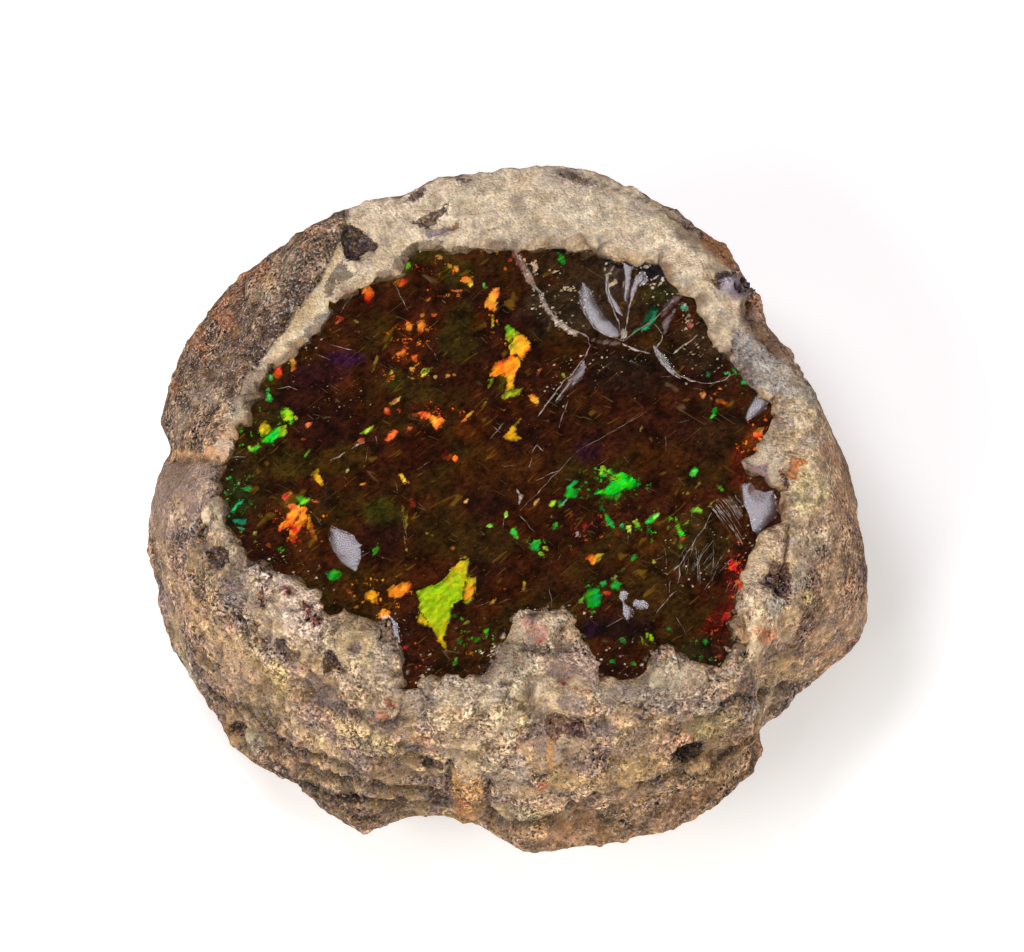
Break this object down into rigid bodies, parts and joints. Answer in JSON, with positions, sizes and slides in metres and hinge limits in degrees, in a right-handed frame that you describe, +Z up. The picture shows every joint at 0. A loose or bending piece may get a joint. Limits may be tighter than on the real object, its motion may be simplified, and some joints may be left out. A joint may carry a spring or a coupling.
{
  "type": "split opal nodule",
  "caption": "Rounded rhyolite nodule broken open across its glassy brown opal filling, which shows flakes of green, orange, yellow and red fire.",
  "frame": {"origin": "centre of the resting flat under the nodule, with the split face up", "axes": "+X is the right of the split face as seen in the picture and the longest extent, +Y its far side, +Z up, square to the split face"},
  "size_m": [0.0639, 0.0617, 0.0281],
  "materials": {
    "rhyolite": "rough broken rock, duller and browner on the weathered skin",
    "opal": "glassy, dark honey-brown, see-through for a few millimetres"
  },
  "bodies": {
    "root": {"host_rock": "rhyolite", "opal_core": "opal"}
  },
  "joints": []
}
